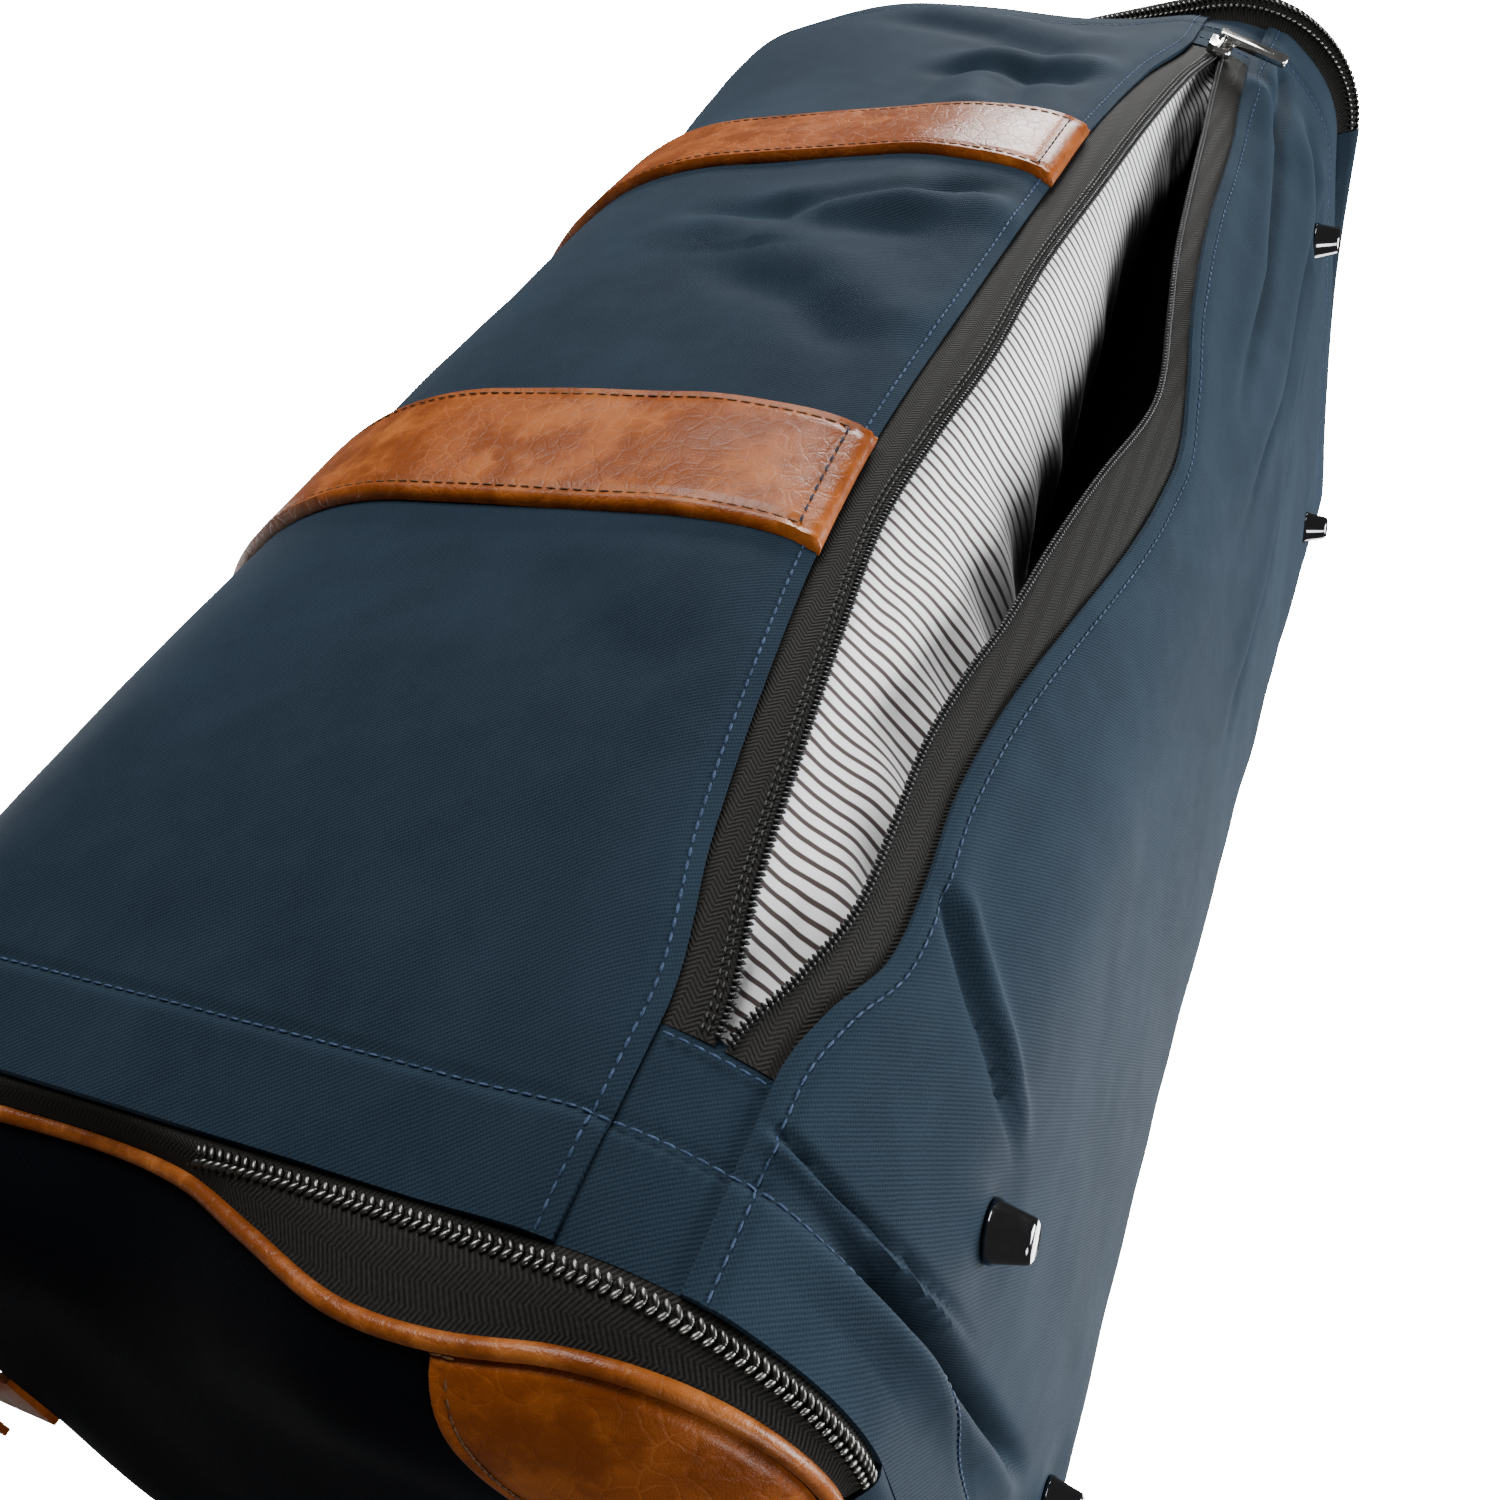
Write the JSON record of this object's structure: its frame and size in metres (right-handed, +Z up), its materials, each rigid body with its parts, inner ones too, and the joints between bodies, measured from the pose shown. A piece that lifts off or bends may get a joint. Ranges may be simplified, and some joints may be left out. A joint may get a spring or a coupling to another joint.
{
  "type": "garment duffel bag",
  "caption": "Soft convertible garment bag zipped up as a duffel, with an open shoe pocket along its lower front edge, leather straps, handles and metal feet.",
  "frame": {"origin": "bottom centre of the standing bag, level with the tips of its feet", "axes": "+X along the bag's length, -Y out of the front with the shoe pocket, +Z up"},
  "size_m": [0.6056, 0.333, 0.3715],
  "materials": {
    "navy_twill": "matt navy cotton twill with visible diagonal rib",
    "dark_cloth": "matt near-black navy twill",
    "tan_leather": "pull-up tan leather, crackled, semi-gloss, stitched edges",
    "zipper_tape": "black herringbone zipper tape with stitching",
    "zipper_chain": "gunmetal coil chain",
    "striped_lining": "white cotton lining with thin dark stripes",
    "nickel": "bright nickel",
    "dark_chrome": "dark polished chrome",
    "board": "black stiffener board",
    "grey_lining": "grey lining cloth"
  },
  "bodies": {
    "root": {"anchor_tab_left": "tan_leather", "anchor_tab_right": "tan_leather", "back_panel": "navy_twill", "back_strap_left": "tan_leather", "back_strap_right": "tan_leather", "base_board": "board", "bottom_panel": "navy_twill", "corner_patch_back_left": "tan_leather", "corner_patch_back_right": "tan_leather", "corner_patch_front_left": "tan_leather", "corner_patch_front_right": "tan_leather", "end_chain_left": "zipper_chain", "end_chain_right": "zipper_chain", "end_inner_tape_left": "zipper_tape", "end_inner_tape_right": "zipper_tape", "end_outer_tape_left": "zipper_tape", "end_outer_tape_right": "zipper_tape", "end_panel_left": "dark_cloth", "end_panel_right": "dark_cloth", "end_piping_left": "tan_leather", "end_piping_right": "tan_leather", "end_sill_left": "navy_twill", "end_sill_right": "navy_twill", "foot_back_left": "dark_chrome", "foot_back_right": "dark_chrome", "foot_front_left": "dark_chrome", "foot_front_right": "dark_chrome", "foot_washer_back_left": "nickel", "foot_washer_back_right": "nickel", "foot_washer_front_left": "nickel", "foot_washer_front_right": "nickel", "front_panel": "navy_twill", "front_strap_left": "tan_leather", "front_strap_right": "tan_leather", "garment_sleeve": "grey_lining", "hanger_hook": "nickel", "pocket_lining": "striped_lining", "pocket_tab_left": "navy_twill", "pocket_tab_right": "navy_twill", "pocket_upper_chain": "zipper_chain", "pocket_upper_tape": "zipper_tape", "top_chain": "zipper_chain", "top_tape_back": "zipper_tape", "top_tape_front": "zipper_tape"},
    "pocket_slider": {"pocket_slider": "nickel"},
    "pocket_pull": {"pocket_pull": "nickel"},
    "pocket_lip": {"pocket_lower_tape": "zipper_tape", "pocket_lower_chain": "zipper_chain"},
    "top_slider": {"top_slider": "nickel"},
    "top_pull": {"top_pull": "nickel"},
    "end_slider_left": {"end_slider_left": "nickel"},
    "end_pull_left": {"end_pull_left": "nickel"},
    "end_slider_right": {"end_slider_right": "nickel"},
    "end_pull_right": {"end_pull_right": "nickel"},
    "front_handle": {"front_handle": "tan_leather"},
    "back_handle": {"back_handle": "tan_leather"},
    "d_ring_left": {"d_ring_left": "nickel"},
    "d_ring_right": {"d_ring_right": "nickel"}
  },
  "joints": [
    {"name": "pocket_zip", "type": "hinge", "parent": "root", "child": "pocket_slider", "pos_m": [0, 0.73028, -0.80983], "axis": [0, -0.7036, -0.7106], "range_deg": [0, 20.41]},
    {"name": "pocket_pull_swing", "type": "hinge", "parent": "pocket_slider", "child": "pocket_pull", "pos_m": [0.222, -0.13956, 0.04269], "axis": [-1, 0, 0], "range_deg": [0, 150]},
    {"name": "pocket_lip_lift", "type": "slide", "parent": "root", "child": "pocket_lip", "axis": [0, -0.7252, 0.6885], "range_m": [0, 0.0507], "deforming": ["pocket_lower_tape", "pocket_lower_chain"]},
    {"name": "top_zip", "type": "slide", "parent": "root", "child": "top_slider", "axis": [-1, 0, 0], "range_m": [0, 0.478]},
    {"name": "top_pull_swing", "type": "hinge", "parent": "top_slider", "child": "top_pull", "pos_m": [0.239, 0, 0.2831], "axis": [0, 1, 0], "range_deg": [0, 170]},
    {"name": "end_zip_left", "type": "slide", "parent": "root", "child": "end_slider_left", "axis": [0, 0, 1], "range_m": [0, 0.13]},
    {"name": "end_pull_left_swing", "type": "hinge", "parent": "end_slider_left", "child": "end_pull_left", "pos_m": [-0.27627, 0.13437, 0.08], "axis": [0.9391, 0.3436, 0], "range_deg": [0, 150]},
    {"name": "end_zip_right", "type": "slide", "parent": "root", "child": "end_slider_right", "axis": [0, 0, 1], "range_m": [0, 0.13]},
    {"name": "end_pull_right_swing", "type": "hinge", "parent": "end_slider_right", "child": "end_pull_right", "pos_m": [0.27627, 0.13437, 0.08], "axis": [0.9391, -0.3436, 0], "range_deg": [0, 150]},
    {"name": "front_handle_swing", "type": "hinge", "parent": "root", "child": "front_handle", "pos_m": [0, -0.08243, 0.2865], "axis": [1, 0, 0], "range_deg": [0, 110]},
    {"name": "back_handle_swing", "type": "hinge", "parent": "root", "child": "back_handle", "pos_m": [0, 0.08243, 0.2865], "axis": [-1, 0, 0], "range_deg": [0, 110]},
    {"name": "d_ring_left_swing", "type": "hinge", "parent": "root", "child": "d_ring_left", "pos_m": [-0.29842, 0, 0.27], "axis": [0, -1, 0], "range_deg": [0, 165]},
    {"name": "d_ring_right_swing", "type": "hinge", "parent": "root", "child": "d_ring_right", "pos_m": [0.29842, 0, 0.27], "axis": [0, 1, 0], "range_deg": [0, 165]}
  ],
  "couplings": [
    {"joint": "pocket_lip_lift", "follows": "pocket_zip", "m_per_rad": 0.14191}
  ]
}
